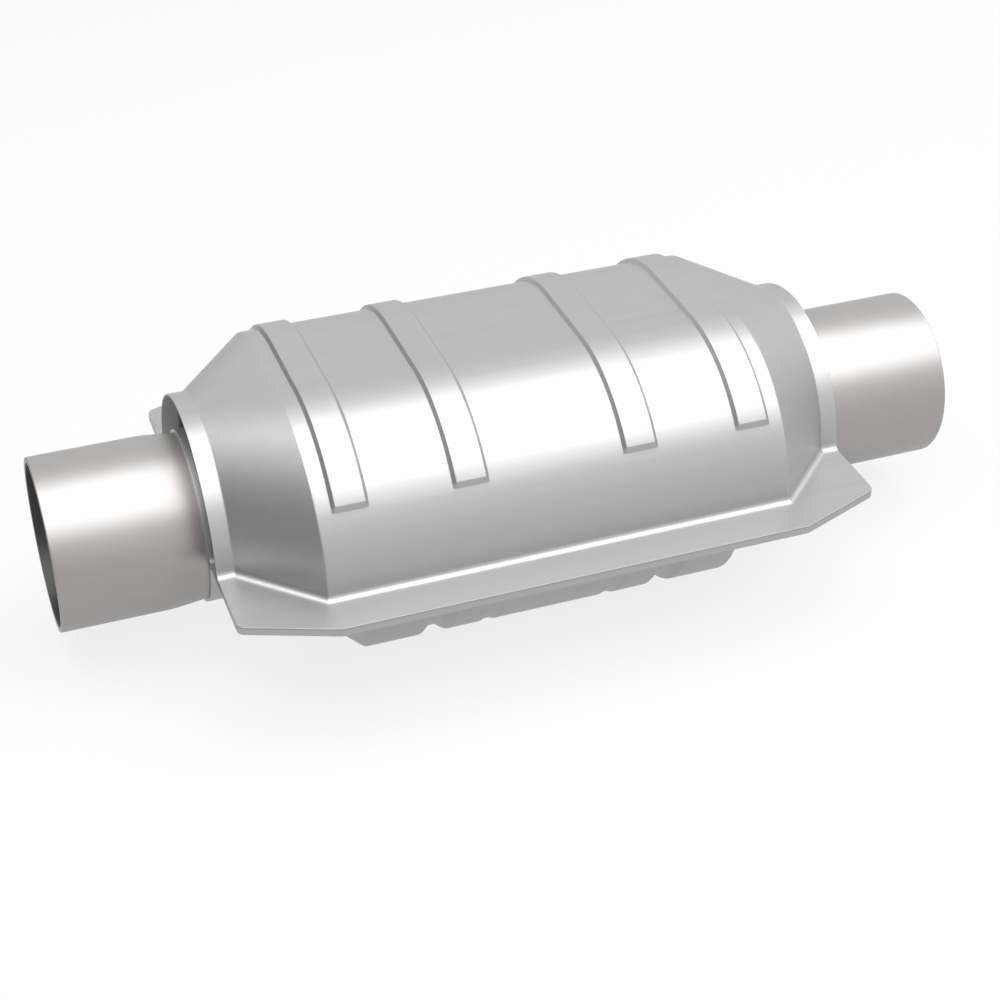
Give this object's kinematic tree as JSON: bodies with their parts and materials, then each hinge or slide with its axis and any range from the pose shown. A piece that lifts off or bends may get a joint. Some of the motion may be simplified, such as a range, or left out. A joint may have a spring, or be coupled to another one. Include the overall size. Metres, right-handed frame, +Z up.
{
  "type": "catalytic converter",
  "caption": "Flanged clamshell catalytic converter with a ribbed heat shield over its upper half and a plain pipe end at each side for fitting into an exhaust line.",
  "frame": {"origin": "on the ground plane below the middle of the can", "axes": "+X along the pipes with the gas flow, from inlet to outlet; +Z up through the heat shield; +Y across"},
  "size_m": [0.3302, 0.1656, 0.0978],
  "materials": {
    "shield": "matte light grey aluminised sheet",
    "shell": "satin stainless sheet",
    "pipe": "satin drawn stainless tube",
    "brick": "matte unglazed honeycomb with washcoat",
    "mat": "matte pressed fibre with mineral flakes",
    "seal": "knitted stainless wire",
    "spacer": "satin stainless sheet",
    "liner": "satin stainless sheet",
    "blanket": "matte white ceramic fibre"
  },
  "bodies": {
    "root": {"heat_shield": "shield", "upper_shell": "shell", "lower_shell": "shell", "inlet_pipe": "pipe", "outlet_pipe": "pipe", "front_brick": "brick", "rear_brick": "brick", "front_mat": "mat", "rear_mat": "mat", "front_inlet_seal": "seal", "front_outlet_seal": "seal", "rear_inlet_seal": "seal", "rear_outlet_seal": "seal", "brick_spacer": "spacer", "inlet_liner": "liner", "outlet_liner": "liner", "inlet_upper_blanket": "blanket", "inlet_lower_blanket": "blanket", "outlet_upper_blanket": "blanket", "outlet_lower_blanket": "blanket"}
  },
  "joints": []
}
